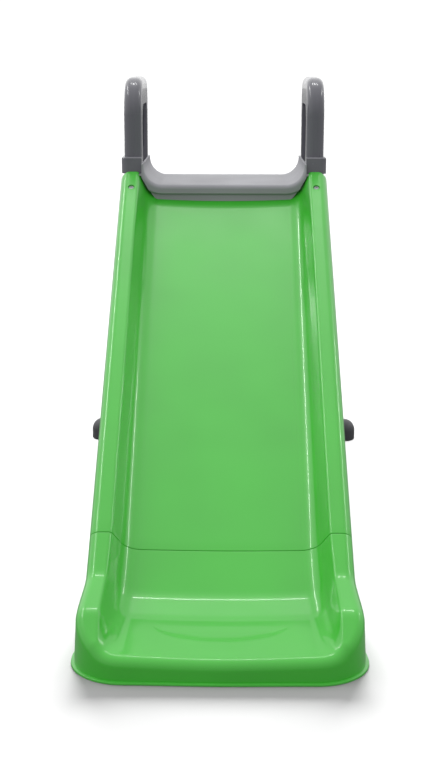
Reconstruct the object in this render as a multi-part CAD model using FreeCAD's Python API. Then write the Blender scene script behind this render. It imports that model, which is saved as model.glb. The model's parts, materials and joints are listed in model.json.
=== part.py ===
"""A straight toddler slide: two-part plastic chute, platform with two grab handles, and a three-step ladder.

Millimetres, +Z up. The origin is on the floor at the middle of the slide's footprint: -Y is towards the
run-out, +Y towards the ladder, and X is across. Inside this file a place along the slide is given as a
station, its distance back from the front lip.
"""

import FreeCAD, Part
import math
import os

V = FreeCAD.Vector
PARTS = "parts"

# ---------------------------------------------------------------- overall
LENGTH = 1237.0
FOOT_SPAN = 574.0
HEIGHT = 778.0
WALL = 3.5
GAP = 0.3
CLEAR_ACROSS = (-300.0, 300.0)

# ---------------------------------------------------------------- chute section, square to the bed
SLOPE = 33.8
CHUTE_HALF = 193.3
BED_HALF = 124.0
BED_SAG = 2.6
RAIL_RISE = 46.0
RAIL_INNER = 166.6
RAIL_ROUND = 16.0
SKIRT_DROP = 14.0
SEAM_STATION = 239.4
SEAM_Z = 102.8
SEAM_GAP = 1.0
CHUTE_RUN = 836.8
RAIL_CENTRE = 172.0
RAIL_POCKET_DEPTH = 4.0
RAIL_POCKET_RADIUS = 5.6
RAIL_BOSS_RADIUS = 8.0
RAIL_BOSS_HEIGHT = 8.0
RAIL_HOLE_RADIUS = 2.5
RIB_COUNT = 8
RIB_ENDS = (90.0, 719.8)
RIB_THICK = 3.0
RIB_DROP = 10.0
WALL_CURVE_POINTS = 10

# ---------------------------------------------------------------- run-out piece
MID_SLOPE = 19.1
LANDING_SLOPE = 5.0
BED_BENDS = (171.4, 128.4)
BED_BEND_BLEND = (9.0, 8.0)
RAIL_MID_SLOPE = 14.9
RAIL_NOSE_SLOPE = 36.0
RAIL_BENDS = (150.8, 72.0)
RAIL_BEND_BLEND = (9.0, 9.0)
BASE_HALF = 203.0
BASE_FLARE = (175.0, 70.0)
BASE_CORNER = 72.0
FRONT_BOW = 2.5
LIP_FLANGE = 4.6
LIP_FLANGE_THICK = 3.0
LIP_DRAFT = 3.0
LANDING_FOOT_HALF = 138.0
LANDING_RAIL_INNER = 172.0
DISH_DEPTH = 2.5
DISH_HALF = 78.0
DISH_STATIONS = (62.0, 104.0)
DISH_EDGE = 12.0
CHUTE_LOWER_END = 247.2
LOWER_RIB_STATIONS = (62.0, 150.0)
LOWER_RIBS_X = (-72.0, 72.0)
LOWER_RIB_Z = 10.0

# ---------------------------------------------------------------- seam shelf
SHELF_LENGTH = 48.0
SHELF_HALF = 112.0
SHELF_DEPTH = 16.5
SEAM_SCREWS_X = (-85.0, 0.0, 85.0)
SEAM_SCREW_U = 26.0
SEAM_BOSS_RADIUS = 7.0
SEAM_BOSS_HOLE = 2.0
SHELF_HOLE_RADIUS = 2.1

# ---------------------------------------------------------------- platform
DECK_Z = 582.0
DECK_FRONT = 909.0
DECK_BACK = 1140.0
NOSE_OUT = 4.0
NOSE_DEPTH = 18.0
NOSE_ROUND = 8.0
NOSE_LOW_ROUND = 3.0
BACK_ROUND = 3.0
CHEEK_X = 151.5
CHEEK_RADIUS = 35.0
CHEEK_TOP = 620.0
LEDGE_Z = 602.0
LEDGE_HALF = 187.5
SKIRT_Z = 545.0
TONGUE_LENGTH = 73.0
TONGUE_X = (163.0, 180.0)
TONGUE_H = (32.4, 38.3)
DECK_RIBS_X = (-60.0, 60.0)
DECK_RIB_STATIONS = (990.0, 1062.0)
DECK_RIB_DROP = 18.0
NOSE_BOSS_RADIUS = 6.0
NOSE_SCREWS_X = (-80.0, 80.0)
NOSE_SCREW_U = CHUTE_RUN - 18.0
RAIL_SCREW_U = CHUTE_RUN - 45.0

# ---------------------------------------------------------------- handles and collars
HANDLE_X = (155.0, 188.0)
HANDLE_STATIONS = (918.0, 1138.0)
HANDLE_BAND = 38.0
HANDLE_CROWN = 50.0
HANDLE_INNER_ROUNDS = (34.0, 24.0)
HANDLE_FRONT_ROUND = 66.0
HANDLE_BACK_ROUND = 42.0
HANDLE_EDGE_ROUND = 13.0
HANDLE_CHANNEL = (19.0, 13.0)
COLLAR_TOP = 633.0
COLLAR_PROUD = 5.0
SPIGOT_X = (159.0, 184.0)
SPIGOT_STATIONS = (923.0, 951.0)
HANDLE_SCREW_STATIONS = (937.0, 1124.0)
SCREW_PILOT = 2.1
LEDGE_HOLE = 2.3

# ---------------------------------------------------------------- ladder
STRINGER_TOP = (169.5, 1088.0)
STRINGER_FOOT = (251.0, 1211.0)
STRINGER_SIZE = (28.0, 36.0)
STRINGER_ROUND = 7.0
STRINGER_WALL = 3.0
STRINGER_BEND_Z = 540.0
STRINGER_BOTTOM_Z = 10.0
STRINGER_BOLT_Z = (557.0, 580.0)
STRINGER_BOLT_HOLE = 3.1
NUT_RADIUS = 5.5
NUT_THICK = 5.0
STEP_NAMES = ("lower", "middle", "upper")
STEP_RISE = DECK_Z / 4.0
STEP_DEPTH = 92.0
STEP_THICK = 30.0
STEP_WALL = 3.0
STEP_FRONT_ROUND = 8.0
STEP_RIDGES = 5
STEP_RIDGE_INSET = 34.0
STEP_RIBS_X = (-60.0, 60.0)
STEP_SCREW_OFFSETS = (-9.0, 9.0)
STEP_BOSS = (5.0, 14.0)
FOOT_SIZE = (64.0, 52.0)
FOOT_HEIGHT = 43.0
FOOT_CORNER = 23.0
FOOT_DOME = 22.0
FOOT_SOLE_ROUND = 4.0
FOOT_SCREW_Z = 16.0

# ---------------------------------------------------------------- brace tubes
BRACE_X = 120.0
BRACE_Z = (58.0, 128.0)
BRACE_DIAMETER = 18.0
BRACE_WALL = 1.5
SOCKET_DIAMETER = 27.0
SOCKET_LENGTH = 24.0
SOCKET_SCREW_INSET = 9.0
SOCKET_PILOT = 1.7

SLOPE_RAD = math.radians(SLOPE)
SIDES = (("left", -1.0), ("right", 1.0))


# ================================================================ helpers

def point(x, station, z):
    """A point of the slide from its place across, along and up."""
    return V(x, station - LENGTH / 2.0, z)


def box(x, station, z):
    """A box between two values across, two stations and two heights."""
    corner = point(min(x), min(station), min(z))
    return Part.makeBox(abs(x[1] - x[0]), abs(station[1] - station[0]), abs(z[1] - z[0]), corner)


def rod(start, end, radius):
    """A round bar from one point to another."""
    along = end.sub(start)
    return Part.makeCylinder(radius, along.Length, start, along)


def fuse(shapes):
    """One clean solid from overlapping shapes."""
    body = shapes[0]
    for shape in shapes[1:]:
        body = body.fuse(shape)
    return body.removeSplitter()


def mirrored(shape, side):
    """The shape itself on the right side, or its mirror image on the left."""
    if side > 0:
        return shape
    return shape.mirror(V(0, 0, 0), V(1, 0, 0))


def on_slope(shape):
    """Moves a shape drawn level, with Y from the seam up the bed, on to the sloping bed."""
    shape.Placement = FreeCAD.Placement(
        point(0, SEAM_STATION, SEAM_Z), FreeCAD.Rotation(V(1, 0, 0), SLOPE)
    ).multiply(shape.Placement)
    return shape


def slope_box(x, along, rise):
    """A box in the sloping bed's own directions."""
    corner = V(min(x), min(along), min(rise))
    return on_slope(Part.makeBox(abs(x[1] - x[0]), abs(along[1] - along[0]), abs(rise[1] - rise[0]), corner))


def slope_rod(x, along, rise, radius):
    """A round bar square to the sloping bed, between two heights over it."""
    return on_slope(Part.makeCylinder(radius, rise[1] - rise[0], V(x, along, rise[0])))


def rounded_rect(centre, size, radius, z):
    """A level rounded rectangle, as a wire, about a place across and along."""
    half_x = size[0] / 2.0
    half_y = size[1] / 2.0
    corners = ((1, 1), (-1, 1), (-1, -1), (1, -1))
    edges = []
    ends = []
    for number, (sx, sy) in enumerate(corners):
        middle = point(centre[0] + sx * (half_x - radius), centre[1] + sy * (half_y - radius), z)
        start = math.radians(90.0 * number)
        arc = [middle + V(math.cos(start + turn), math.sin(start + turn), 0) * radius
               for turn in (0.0, math.pi / 4.0, math.pi / 2.0)]
        edges.append(Part.Arc(*arc).toShape())
        ends.append((arc[0], arc[2]))
    lines = [Part.makeLine(ends[i][1], ends[(i + 1) % 4][0]) for i in range(4)]
    loop = [edge for pair in zip(edges, lines) for edge in pair]
    return Part.Wire(loop)


def save(name, shape):
    """Writes one node."""
    solids = shape.Solids
    assert solids, name + " has no solid"
    body = solids[0] if len(solids) == 1 else Part.makeCompound(solids)
    assert body.isValid(), name + " is not valid"
    body.exportStep(os.path.join(PARTS, name + ".step"))


# ================================================================ chute shape

def smooth(part):
    """An S curve from 0 to 1."""
    part = min(max(part, 0.0), 1.0)
    return part * part * (3.0 - 2.0 * part)


def hinge(distance, blend):
    """Zero before a bend and its distance after it, rounded over the blend each side."""
    if distance <= -blend:
        return 0.0
    if distance >= blend:
        return distance
    return (distance + blend) ** 2 / (4.0 * blend)


def bed_height(station):
    """The bed's height on the centre line."""
    steep = math.tan(SLOPE_RAD)
    middle = math.tan(math.radians(MID_SLOPE))
    landing = math.tan(math.radians(LANDING_SLOPE))
    height_at_upper = SEAM_Z - steep * (SEAM_STATION - BED_BENDS[0])
    height_at_lower = height_at_upper - middle * (BED_BENDS[0] - BED_BENDS[1])
    height = height_at_lower + landing * (station - BED_BENDS[1])
    height += (middle - landing) * hinge(station - BED_BENDS[1], BED_BEND_BLEND[1])
    height += (steep - middle) * hinge(station - BED_BENDS[0], BED_BEND_BLEND[0])
    return height


def rail_height(station):
    """The height of the rails' flat tops."""
    steep = math.tan(SLOPE_RAD)
    middle = math.tan(math.radians(RAIL_MID_SLOPE))
    nose = math.tan(math.radians(RAIL_NOSE_SLOPE))
    rail_over_seam = SEAM_Z + RAIL_RISE / math.cos(SLOPE_RAD)
    height_at_upper = rail_over_seam - steep * (SEAM_STATION - RAIL_BENDS[0])
    height_at_lower = height_at_upper - middle * (RAIL_BENDS[0] - RAIL_BENDS[1])
    height = height_at_lower + nose * (station - RAIL_BENDS[1])
    height += (middle - nose) * hinge(station - RAIL_BENDS[1], RAIL_BEND_BLEND[1])
    height += (steep - middle) * hinge(station - RAIL_BENDS[0], RAIL_BEND_BLEND[0])
    return height


def bed_sag(x):
    """How far the hollow bed stands above its centre line, square to the bed."""
    return BED_SAG * min(abs(x) / BED_HALF, 1.0) ** 2


def dish(x, station):
    """The shallow hollow in the landing, straight behind and curved in front."""
    across = 1.0 - (x / DISH_HALF) ** 2
    if across <= 0.0:
        return 0.0
    front = DISH_STATIONS[1] - (DISH_STATIONS[1] - DISH_STATIONS[0]) * math.sqrt(across)
    edge = min(station - front, DISH_STATIONS[1] - station)
    return DISH_DEPTH * smooth(edge / DISH_EDGE)


def top_height(x, station):
    """The run-out's top surface, before its outer edge is rounded."""
    forward = smooth((SEAM_STATION - station) / (SEAM_STATION - 40.0))
    foot = BED_HALF + (LANDING_FOOT_HALF - BED_HALF) * forward
    inner = RAIL_INNER + (LANDING_RAIL_INNER - RAIL_INNER) * forward
    bed = bed_height(station)
    sag = bed_sag(x * BED_HALF / foot) / math.cos(SLOPE_RAD)
    rise = hinge(rail_height(station) - bed - sag, 4.0)
    wall = smooth((abs(x) - foot) / (inner - foot))
    return bed + sag + rise * wall - dish(x, station)


def top_height_inside(x, station):
    """The underside of the run-out's top, one wall thickness below it."""
    step = 0.5
    across = (top_height(x + step, station) - top_height(x - step, station)) / (2.0 * step)
    along = (top_height(x, station + step) - top_height(x, station - step)) / (2.0 * step)
    return top_height(x, station) - WALL * math.sqrt(1.0 + across ** 2 + along ** 2)


def section_outline(drop):
    """The chute's section from skirt to skirt, square to the bed, a drop inside the outer skin."""
    sag_slope = 2.0 * BED_SAG / BED_HALF
    wall_width = RAIL_INNER - BED_HALF
    wall_rise = RAIL_RISE - BED_SAG
    wall_points = []
    for number in range(WALL_CURVE_POINTS + 1):
        part = number / WALL_CURVE_POINTS
        slope = wall_rise / wall_width * 6.0 * part * (1.0 - part)
        slope = max(slope, sag_slope * (1.0 - part))
        length = math.sqrt(1.0 + slope ** 2)
        x = BED_HALF + wall_width * part + drop * slope / length
        wall_points.append(V(x, 0, BED_SAG + wall_rise * smooth(part) - drop / length))
    foot = wall_points[0]
    top = wall_points[-1]
    curve = Part.BSplineCurve()
    curve.interpolate(Points=wall_points, InitialTangent=V(1, 0, sag_slope), FinalTangent=V(1, 0, 0))
    bed = Part.Arc(V(-foot.x, 0, foot.z), V(0, 0, -drop), foot).toShape()
    radius = RAIL_ROUND - drop
    round_x = CHUTE_HALF - RAIL_ROUND
    round_z = RAIL_RISE - RAIL_ROUND
    turn = radius * math.sqrt(0.5)
    skirt_x = CHUTE_HALF - drop
    crown = Part.makeLine(top, V(round_x, 0, top.z))
    corner = Part.Arc(V(round_x, 0, top.z), V(round_x + turn, 0, round_z + turn), V(skirt_x, 0, round_z))
    skirt = Part.makeLine(V(skirt_x, 0, round_z), V(skirt_x, 0, -SKIRT_DROP))
    right = [curve.toShape(), crown, corner.toShape(), skirt]
    left = [edge.mirror(V(0, 0, 0), V(1, 0, 0)) for edge in right]
    return Part.Wire(Part.__sortEdges__([bed] + right + left))


def closed_below(wire, level):
    """A face between the section's outline and a level line at or below its two feet."""
    feet = sorted((vertex.Point for vertex in wire.Vertexes), key=lambda foot: foot.z)[:2]
    left, right = sorted(feet, key=lambda foot: foot.x)
    corners = [left, right]
    if left.z - level > 0.01:
        corners = [left, V(left.x, 0, level), V(right.x, 0, level), right]
    edges = [Part.makeLine(first, second) for first, second in zip(corners, corners[1:])]
    return Part.Face(Part.Wire(Part.__sortEdges__(wire.Edges + edges)))


def chute_upper():
    """The long upper chute: one open-bottomed section with cross ribs and screw bosses below."""
    outer = closed_below(section_outline(0.0), -SKIRT_DROP).extrude(V(0, CHUTE_RUN, 0))
    hollow = closed_below(section_outline(WALL), -SKIRT_DROP - 5.0).extrude(V(0, CHUTE_RUN + 2.0, 0))
    hollow.translate(V(0, -1.0, 0))
    rib_pitch = (RIB_ENDS[1] - RIB_ENDS[0]) / (RIB_COUNT - 1)
    for number in range(RIB_COUNT):
        corner = V(-CHUTE_HALF, RIB_ENDS[0] + number * rib_pitch, -RIB_DROP)
        hollow = hollow.cut(Part.makeBox(2.0 * CHUTE_HALF, RIB_THICK, RIB_DROP + RAIL_RISE, corner))
    body = outer.cut(hollow)
    boss_low = GAP - SHELF_DEPTH
    boss_height = -boss_low - 2.0
    for x in SEAM_SCREWS_X:
        body = body.fuse(Part.makeCylinder(SEAM_BOSS_RADIUS, boss_height, V(x, SEAM_SCREW_U, boss_low)))
        body = body.cut(Part.makeCylinder(SEAM_BOSS_HOLE, boss_height, V(x, SEAM_SCREW_U, boss_low)))
    floor = RAIL_RISE - RAIL_POCKET_DEPTH
    for _, side in SIDES:
        x = side * RAIL_CENTRE
        boss = Part.makeCylinder(RAIL_BOSS_RADIUS, RAIL_BOSS_HEIGHT, V(x, RAIL_SCREW_U, floor - WALL))
        body = body.fuse(boss.common(outer))
        body = body.cut(Part.makeCylinder(RAIL_POCKET_RADIUS, RAIL_RISE, V(x, RAIL_SCREW_U, floor)))
        hole = Part.makeCylinder(RAIL_HOLE_RADIUS, RAIL_RISE, V(x, RAIL_SCREW_U, floor - WALL - 2.0))
        body = body.cut(hole)
    for x in NOSE_SCREWS_X:
        body = body.cut(Part.makeCylinder(RAIL_HOLE_RADIUS, 20.0, V(x, NOSE_SCREW_U, -10.0)))
    return on_slope(body)


def chute_envelope():
    """All that the upper chute takes up, with a little clearance, so that the platform is cut to fit it."""
    return on_slope(closed_below(section_outline(-GAP), -60.0).extrude(V(0, CHUTE_RUN + GAP, 0)))


# ================================================================ run-out piece

def plan_outline(inset, lean, z):
    """The run-out from above, as a closed wire inset from its wall line, its front leaning in by more."""
    seam_half = CHUTE_HALF - inset
    base_half = BASE_HALF - inset - lean
    corner = BASE_CORNER - inset - lean
    front = LIP_FLANGE + inset + lean
    corner_station = front + FRONT_BOW + corner
    flare_end = max(BASE_FLARE[1], corner_station + 1.0)
    rear = CHUTE_LOWER_END + 60.0
    centre_x = base_half - corner
    turn = corner * math.sqrt(0.5)
    edges = []
    for side in (1.0, -1.0):
        flare = Part.BSplineCurve()
        flare_points = [
            point(side * seam_half, BASE_FLARE[0], z),
            point(side * (seam_half + base_half) / 2.0, (BASE_FLARE[0] + flare_end) / 2.0, z),
            point(side * base_half, flare_end, z),
        ]
        flare.interpolate(Points=flare_points, InitialTangent=V(0, -1, 0), FinalTangent=V(0, -1, 0))
        side_end = point(side * base_half, corner_station, z)
        arc_middle = point(side * (centre_x + turn), corner_station - turn, z)
        arc_end = point(side * centre_x, corner_station - corner, z)
        edges.append(Part.makeLine(point(side * seam_half, rear, z), flare_points[0]))
        edges.append(flare.toShape())
        edges.append(Part.makeLine(flare_points[2], side_end))
        edges.append(Part.Arc(side_end, arc_middle, arc_end).toShape())
    bow = Part.BSplineCurve()
    bow_points = [
        point(-centre_x, front + FRONT_BOW, z),
        point(0, front, z),
        point(centre_x, front + FRONT_BOW, z),
    ]
    bow.interpolate(Points=bow_points, InitialTangent=V(1, 0, 0), FinalTangent=V(1, 0, 0))
    edges.append(bow.toShape())
    edges.append(Part.makeLine(point(-seam_half, rear, z), point(seam_half, rear, z)))
    return Part.Wire(Part.__sortEdges__(edges))


def under_surface(height, low):
    """The block below a height surface, down to a level."""
    across = 80
    along = 62
    half_width = 216.0
    first = -18.0
    step_x = 2.0 * half_width / across
    step_station = 5.0
    grid = []
    for i in range(across + 1):
        x = -half_width + i * step_x
        stations = [first + j * step_station for j in range(along + 1)]
        grid.append([point(x, station, height(x, station)) for station in stations])
    surface = Part.BSplineSurface()
    surface.interpolate(grid)
    block = surface.toShape().extrude(V(0, 0, -400.0))
    return block.cut(box((-400.0, 400.0), (-200.0, 500.0), (low, low - 600.0)))


def rounded_block(height, inset, radius, low):
    """The run-out's outer or inner form: top surface, drafted wall and the round between them."""
    high = 230.0
    lean = high * math.tan(math.radians(LIP_DRAFT))
    sides = Part.makeLoft([plan_outline(inset, 0.0, 0.0), plan_outline(inset, lean, high)], True, True)
    if low < 0.0:
        sides = sides.fuse(Part.Face(plan_outline(inset, 0.0, 0.0)).extrude(V(0, 0, low)))
    block = under_surface(height, low).common(sides).Solids[0]
    seed = max(
        (edge for edge in block.Edges if edge.CenterOfMass.z > 120.0 and edge.CenterOfMass.x > 170.0),
        key=lambda edge: edge.Length if abs(edge.tangentAt(edge.FirstParameter).z) > 0.2 else 0.0,
    )
    return block.makeFillet(radius, [seed])


def brace_line():
    """The right brace tube's centre line, from the run-out's back wall to the lowest step's front wall."""
    front = point(BRACE_X, CHUTE_LOWER_END, BRACE_Z[0])
    back = point(BRACE_X, step_front(0), BRACE_Z[1])
    return front, back


def brace_socket(start, along):
    """A moulded ring that a brace tube plugs into, with its back end sunk into the wall that carries it."""
    ring = rod(start.sub(along * (WALL - 0.5)), start.add(along * SOCKET_LENGTH), SOCKET_DIAMETER / 2.0)
    bore = rod(start, start.add(along * (SOCKET_LENGTH + 1.0)), BRACE_DIAMETER / 2.0 + 0.15)
    return ring.cut(bore)


def brace_screw(start, along, radius, head):
    """A lock screw through the top of a brace socket and the tube in it."""
    up = V(1, 0, 0).cross(along).normalize()
    place = start.add(along * (SOCKET_LENGTH - SOCKET_SCREW_INSET))
    top = place.add(up * (SOCKET_DIAMETER / 2.0))
    shank = rod(top, top.sub(up * 8.0), radius)
    if not head:
        return shank
    return shank.fuse(rod(top, top.add(up * 2.2), 3.2)).removeSplitter()


def chute_lower():
    """The run-out piece: an open-bottomed shell with a back wall, ribs, a base flange and a shelf."""
    outer = rounded_block(top_height, 0.0, RAIL_ROUND, 0.0)
    hollow = rounded_block(top_height_inside, WALL, RAIL_ROUND - WALL, -20.0)
    behind_wall = box(CLEAR_ACROSS, (CHUTE_LOWER_END - WALL, 500.0), (-50.0, 300.0))
    behind = box(CLEAR_ACROSS, (CHUTE_LOWER_END, 500.0), (-50.0, 300.0))
    hollow = hollow.cut(behind_wall)
    for station in LOWER_RIB_STATIONS:
        hollow = hollow.cut(box(CLEAR_ACROSS, (station, station + RIB_THICK), (LOWER_RIB_Z, 300.0)))
    for x in LOWER_RIBS_X:
        half = RIB_THICK / 2.0
        hollow = hollow.cut(box((x - half, x + half), (-20.0, 500.0), (LOWER_RIB_Z, 300.0)))
    shell = outer.cut(hollow)
    shell = shell.cut(behind)
    shell = shell.cut(slope_box(CLEAR_ACROSS, (-SEAM_GAP, 200.0), (-SKIRT_DROP - GAP, 200.0)))
    rim = Part.Face(plan_outline(-LIP_FLANGE, 0.0, 0.0)).extrude(V(0, 0, LIP_FLANGE_THICK))
    rim = rim.cut(Part.Face(plan_outline(WALL / 2.0, 0.0, -1.0)).extrude(V(0, 0, 10.0)))
    rim = rim.cut(behind)
    shelf = slope_box((-SHELF_HALF, SHELF_HALF), (-8.0, SHELF_LENGTH), (-SHELF_DEPTH - WALL, -SHELF_DEPTH))
    for x in SEAM_SCREWS_X:
        shelf = shelf.cut(slope_rod(x, SEAM_SCREW_U, (-40.0, 0.0), SHELF_HOLE_RADIUS))
    front, back = brace_line()
    along = back.sub(front).normalize()
    pieces = [shell, rim, shelf]
    socket = brace_socket(front, along).cut(brace_screw(front, along, SOCKET_PILOT, False))
    for _, side in SIDES:
        pieces.append(mirrored(socket, side))
    return fuse(pieces)


# ================================================================ platform

def deck_contour(drop, reach):
    """The deck's top line across the slide, a drop below it: flat, with a cheek curving up to a reach."""
    radius = CHEEK_RADIUS + drop
    start = CHEEK_X - CHEEK_RADIUS
    centre_z = DECK_Z + CHEEK_RADIUS
    edge_x = min(start + radius, reach)
    edge_z = centre_z - math.sqrt(max(radius ** 2 - (edge_x - start) ** 2, 0.0))
    half_turn = math.asin((edge_x - start) / radius) / 2.0
    middle = V(start + radius * math.sin(half_turn), 0, centre_z - radius * math.cos(half_turn))
    right = Part.Arc(V(start, 0, DECK_Z - drop), middle, V(edge_x, 0, edge_z)).toShape()
    left = right.mirror(V(0, 0, 0), V(1, 0, 0))
    flat = Part.makeLine(V(-start, 0, DECK_Z - drop), V(start, 0, DECK_Z - drop))
    return [left, flat, right], V(edge_x, 0, edge_z)


def closed_face(edges, right_points):
    """A face from a contour across the slide and the points that close it on the right, mirrored left."""
    loop = list(edges)
    for first, second in zip(right_points, right_points[1:]):
        line = Part.makeLine(first, second)
        loop.append(line)
        loop.append(line.mirror(V(0, 0, 0), V(1, 0, 0)))
    last = right_points[-1]
    loop.append(Part.makeLine(last, V(-last.x, 0, last.z)))
    return Part.Face(Part.Wire(Part.__sortEdges__(loop)))


def along_slide(face, stations):
    """A face across the slide, drawn out between two stations."""
    block = face.extrude(V(0, stations[1] - stations[0], 0))
    block.translate(point(0, stations[0], 0))
    return block


def deck_nose():
    """The bull nose: a rounded bar that follows the deck and its cheeks from side to side."""
    top, edge = deck_contour(0.0, HANDLE_X[0])
    cheek = Part.makeLine(edge, V(CHEEK_X, 0, CHEEK_TOP))
    path = Part.Wire(Part.__sortEdges__(top + [cheek, cheek.mirror(V(0, 0, 0), V(1, 0, 0))]))
    start = path.OrderedVertexes[0].Point
    outward = 1.0 if start.x > 0 else -1.0
    front = 0.0
    back = NOSE_OUT + 8.0
    turn = 1.0 - math.sqrt(0.5)

    def place(depth, along):
        return start.add(V(outward * depth, along, 0))

    low = NOSE_DEPTH - NOSE_LOW_ROUND
    edges = [
        Part.makeLine(place(0, back), place(0, NOSE_ROUND)),
        Part.Arc(place(0, NOSE_ROUND), place(NOSE_ROUND * turn, NOSE_ROUND * turn), place(NOSE_ROUND, front)),
        Part.makeLine(place(NOSE_ROUND, front), place(low, front)),
        Part.Arc(place(low, front), place(NOSE_DEPTH - NOSE_LOW_ROUND * turn, NOSE_LOW_ROUND * turn),
                 place(NOSE_DEPTH, NOSE_LOW_ROUND)),
        Part.makeLine(place(NOSE_DEPTH, NOSE_LOW_ROUND), place(NOSE_DEPTH, back)),
        Part.makeLine(place(NOSE_DEPTH, back), place(0, back)),
    ]
    profile = Part.Wire([edge if isinstance(edge, Part.Edge) else edge.toShape() for edge in edges])
    nose = path.makePipeShell([profile], True, False)
    nose.translate(point(0, DECK_FRONT - NOSE_OUT, 0))
    return nose.common(box((-HANDLE_X[0], HANDLE_X[0]), (850.0, 1000.0), (SKIRT_Z, CHEEK_TOP)))


def deck_form():
    """The platform's outer form, with its bull nose."""
    top, edge = deck_contour(0.0, HANDLE_X[0])
    body_points = [
        edge,
        V(CHEEK_X, 0, CHEEK_TOP),
        V(HANDLE_X[0], 0, CHEEK_TOP),
        V(HANDLE_X[0], 0, LEDGE_Z),
        V(LEDGE_HALF, 0, LEDGE_Z),
        V(LEDGE_HALF, 0, SKIRT_Z),
    ]
    body = along_slide(closed_face(top, body_points), (DECK_FRONT + NOSE_ROUND, DECK_BACK))
    body = body.makeFillet(BACK_ROUND, contour_edges(body, DECK_BACK, DECK_Z))
    under, under_edge = deck_contour(NOSE_DEPTH / 2.0, HANDLE_X[0])
    apron_points = [under_edge, V(HANDLE_X[0], 0, SKIRT_Z)]
    apron = along_slide(closed_face(under, apron_points), (DECK_FRONT, DECK_FRONT + NOSE_ROUND + 1.0))
    ledge_front = box((HANDLE_X[0] - 2.0, LEDGE_HALF), (DECK_FRONT - NOSE_OUT, DECK_FRONT + NOSE_ROUND + 1.0),
                      (SKIRT_Z, LEDGE_Z))
    form = body.fuse(apron).fuse(deck_nose())
    for _, side in SIDES:
        form = form.fuse(mirrored(ledge_front, side))
    return form.removeSplitter()


def contour_edges(shape, station, level):
    """The level middle edge of a contour across the slide, at a station and a height."""
    y = station - LENGTH / 2.0
    found = []
    for edge in shape.Edges:
        centre = edge.CenterOfMass
        level_edge = edge.BoundBox.ZLength < 0.01 and edge.BoundBox.YLength < 0.01
        if level_edge and abs(centre.y - y) < 0.01 and abs(centre.z - level) < 0.01 and abs(centre.x) < 1.0:
            found.append(edge)
    return found


def platform():
    """The deck shell, with side pockets for the ladder, ribs, screw bosses and a tongue into each rail."""
    form = deck_form()
    under, edge = deck_contour(WALL, CHEEK_X)
    low = SKIRT_Z - 20.0
    well = closed_face(under, [edge, V(CHEEK_X, 0, low)])
    hollow = along_slide(well, (DECK_FRONT + WALL, DECK_BACK - WALL))
    rib_z = (DECK_Z - DECK_RIB_DROP, CHEEK_TOP)
    for x in DECK_RIBS_X:
        half = RIB_THICK / 2.0
        hollow = hollow.cut(box((x - half, x + half), (DECK_FRONT, DECK_BACK), rib_z))
    for station in DECK_RIB_STATIONS:
        hollow = hollow.cut(box(CLEAR_ACROSS, (station, station + RIB_THICK), rib_z))
    for x in NOSE_SCREWS_X:
        hollow = hollow.cut(slope_rod(x, NOSE_SCREW_U, (0.0, 60.0), NOSE_BOSS_RADIUS))
    body = form.cut(hollow)
    pocket = box((HANDLE_X[0], LEDGE_HALF - WALL), (880.0, DECK_BACK - WALL), (low, LEDGE_Z - WALL))
    tongue = slope_box(TONGUE_X, (CHUTE_RUN - TONGUE_LENGTH, CHUTE_RUN + 12.0), TONGUE_H)
    tongue = tongue.cut(box((100.0, 250.0), (850.0, 1000.0), (LEDGE_Z - 0.5, LEDGE_Z + 50.0)))
    tongue = tongue.cut(slope_rod(RAIL_CENTRE, RAIL_SCREW_U, (0.0, 80.0), RAIL_HOLE_RADIUS))
    holes = []
    for z in STRINGER_BOLT_Z:
        start = point(140.0, STRINGER_TOP[1], z)
        holes.append(rod(start, start.add(V(60.0, 0, 0)), STRINGER_BOLT_HOLE))
    for station in HANDLE_SCREW_STATIONS:
        middle = point(sum(HANDLE_X) / 2.0, station, LEDGE_Z)
        holes.append(rod(middle.sub(V(0, 0, 10.0)), middle.add(V(0, 0, 5.0)), LEDGE_HOLE))
    for _, side in SIDES:
        body = body.cut(mirrored(pocket, side))
        for hole in holes:
            body = body.cut(mirrored(hole, side))
    body = body.cut(chute_envelope())
    for x in NOSE_SCREWS_X:
        body = body.cut(slope_rod(x, NOSE_SCREW_U, (-5.0, 17.0), SCREW_PILOT))
    return fuse([max(body.Solids, key=lambda solid: solid.Volume)]
                + [mirrored(tongue, side) for _, side in SIDES])


# ================================================================ handles and collars

def arch(stations, top, rounds, low):
    """An upright arch, as a face in the slide's side view."""
    front, back = stations
    front_round, back_round = rounds
    turn = math.sqrt(0.5)
    front_centre = (front + front_round, top - front_round)
    back_centre = (back - back_round, top - back_round)
    edges = [
        Part.makeLine(point(0, front, low), point(0, front, front_centre[1])),
        Part.Arc(point(0, front, front_centre[1]),
                 point(0, front_centre[0] - front_round * turn, front_centre[1] + front_round * turn),
                 point(0, front_centre[0], top)).toShape(),
        Part.makeLine(point(0, front_centre[0], top), point(0, back_centre[0], top)),
        Part.Arc(point(0, back_centre[0], top),
                 point(0, back_centre[0] + back_round * turn, back_centre[1] + back_round * turn),
                 point(0, back, back_centre[1])).toShape(),
        Part.makeLine(point(0, back, back_centre[1]), point(0, back, low)),
        Part.makeLine(point(0, back, low), point(0, front, low)),
    ]
    return Part.Face(Part.Wire(edges))


def across_slide(face, x):
    """A face in the side view, drawn out between two places across the slide."""
    block = face.extrude(V(x[1] - x[0], 0, 0))
    block.translate(V(x[0], 0, 0))
    return block


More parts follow.
